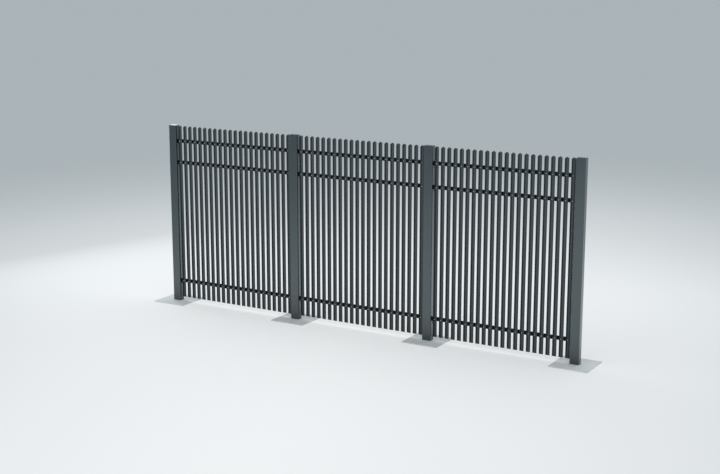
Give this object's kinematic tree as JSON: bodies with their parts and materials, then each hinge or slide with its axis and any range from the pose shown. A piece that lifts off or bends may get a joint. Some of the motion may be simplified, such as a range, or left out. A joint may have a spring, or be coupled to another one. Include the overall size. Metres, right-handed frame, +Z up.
{
  "type": "palisade fence",
  "caption": "Straight run of steel palisade fencing: blunt-pointed W-section pales, bolted to tube rails between capped box posts that stand through square footings.",
  "frame": {"origin": "on the ground under the middle of the fence, in the middle plane of the posts", "axes": "+X along the fence, +Y from the pale side to the rail side, +Z up"},
  "size_m": [6.5, 0.5, 2.51],
  "materials": {
    "powder_coat": "anthracite satin powder coat",
    "zinc_plate": "zinc-plated cap nuts and bolt heads, slightly dulled",
    "cap_plastic": "anthracite moulded plastic with a smooth top",
    "concrete": "pale cast concrete, floated top"
  },
  "bodies": {
    "root": {"bay_1_lower_rail": "powder_coat", "bay_1_pale_bolts": "zinc_plate", "bay_1_pales_01_02": "powder_coat", "bay_1_pales_03_04": "powder_coat", "bay_1_pales_05_06": "powder_coat", "bay_1_pales_07_08": "powder_coat", "bay_1_pales_09_10": "powder_coat", "bay_1_pales_11_12": "powder_coat", "bay_1_pales_13_14": "powder_coat", "bay_1_pales_15_16": "powder_coat", "bay_1_pales_17_18": "powder_coat", "bay_1_pales_19_20": "powder_coat", "bay_1_pales_21_22": "powder_coat", "bay_1_top_rail": "powder_coat", "bay_1_upper_rail": "powder_coat", "bay_2_lower_rail": "powder_coat", "bay_2_pale_bolts": "zinc_plate", "bay_2_pales_01_02": "powder_coat", "bay_2_pales_03_04": "powder_coat", "bay_2_pales_05_06": "powder_coat", "bay_2_pales_07_08": "powder_coat", "bay_2_pales_09_10": "powder_coat", "bay_2_pales_11_12": "powder_coat", "bay_2_pales_13_14": "powder_coat", "bay_2_pales_15_16": "powder_coat", "bay_2_pales_17_18": "powder_coat", "bay_2_pales_19_20": "powder_coat", "bay_2_pales_21_22": "powder_coat", "bay_2_top_rail": "powder_coat", "bay_2_upper_rail": "powder_coat", "bay_3_lower_rail": "powder_coat", "bay_3_pale_bolts": "zinc_plate", "bay_3_pales_01_02": "powder_coat", "bay_3_pales_03_04": "powder_coat", "bay_3_pales_05_06": "powder_coat", "bay_3_pales_07_08": "powder_coat", "bay_3_pales_09_10": "powder_coat", "bay_3_pales_11_12": "powder_coat", "bay_3_pales_13_14": "powder_coat", "bay_3_pales_15_16": "powder_coat", "bay_3_pales_17_18": "powder_coat", "bay_3_pales_19_20": "powder_coat", "bay_3_pales_21_22": "powder_coat", "bay_3_top_rail": "powder_coat", "bay_3_upper_rail": "powder_coat", "post_1": "powder_coat", "post_1_cap": "cap_plastic", "post_1_footing": "concrete", "post_2": "powder_coat", "post_2_cap": "cap_plastic", "post_2_footing": "concrete", "post_3": "powder_coat", "post_3_cap": "cap_plastic", "post_3_footing": "concrete", "post_4": "powder_coat", "post_4_cap": "cap_plastic", "post_4_footing": "concrete", "rail_cleat_bolts": "zinc_plate", "rail_cleats": "powder_coat"}
  },
  "joints": []
}
